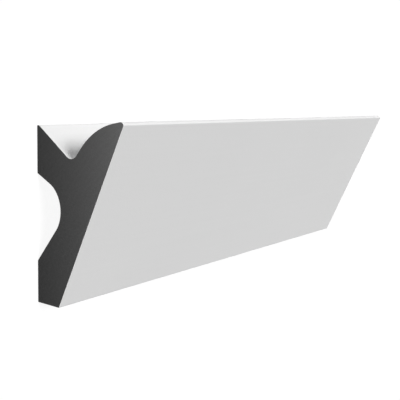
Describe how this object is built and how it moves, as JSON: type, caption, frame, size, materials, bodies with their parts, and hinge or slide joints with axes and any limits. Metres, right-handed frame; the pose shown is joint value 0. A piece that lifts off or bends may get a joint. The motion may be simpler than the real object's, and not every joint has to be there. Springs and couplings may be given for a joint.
{
  "type": "led cove moulding",
  "caption": "Straight cove moulding with a slanted front, a crowned lip, a sloped channel for a hidden light strip along its top, and a relieved back that is glued to a wall.",
  "frame": {"origin": "on the floor under the middle of the moulding's length and height, as it lies on its back", "axes": "+X along the length, +Y towards the edge that is the top on a wall, +Z out from the wall"},
  "size_m": [0.3, 0.1, 0.0667],
  "materials": {
    "primed_foam": "matt white primer on the moulded faces, sawn ends bare dark grey foamed plastic"
  },
  "bodies": {
    "root": {"cove_moulding": "primed_foam"}
  },
  "joints": []
}
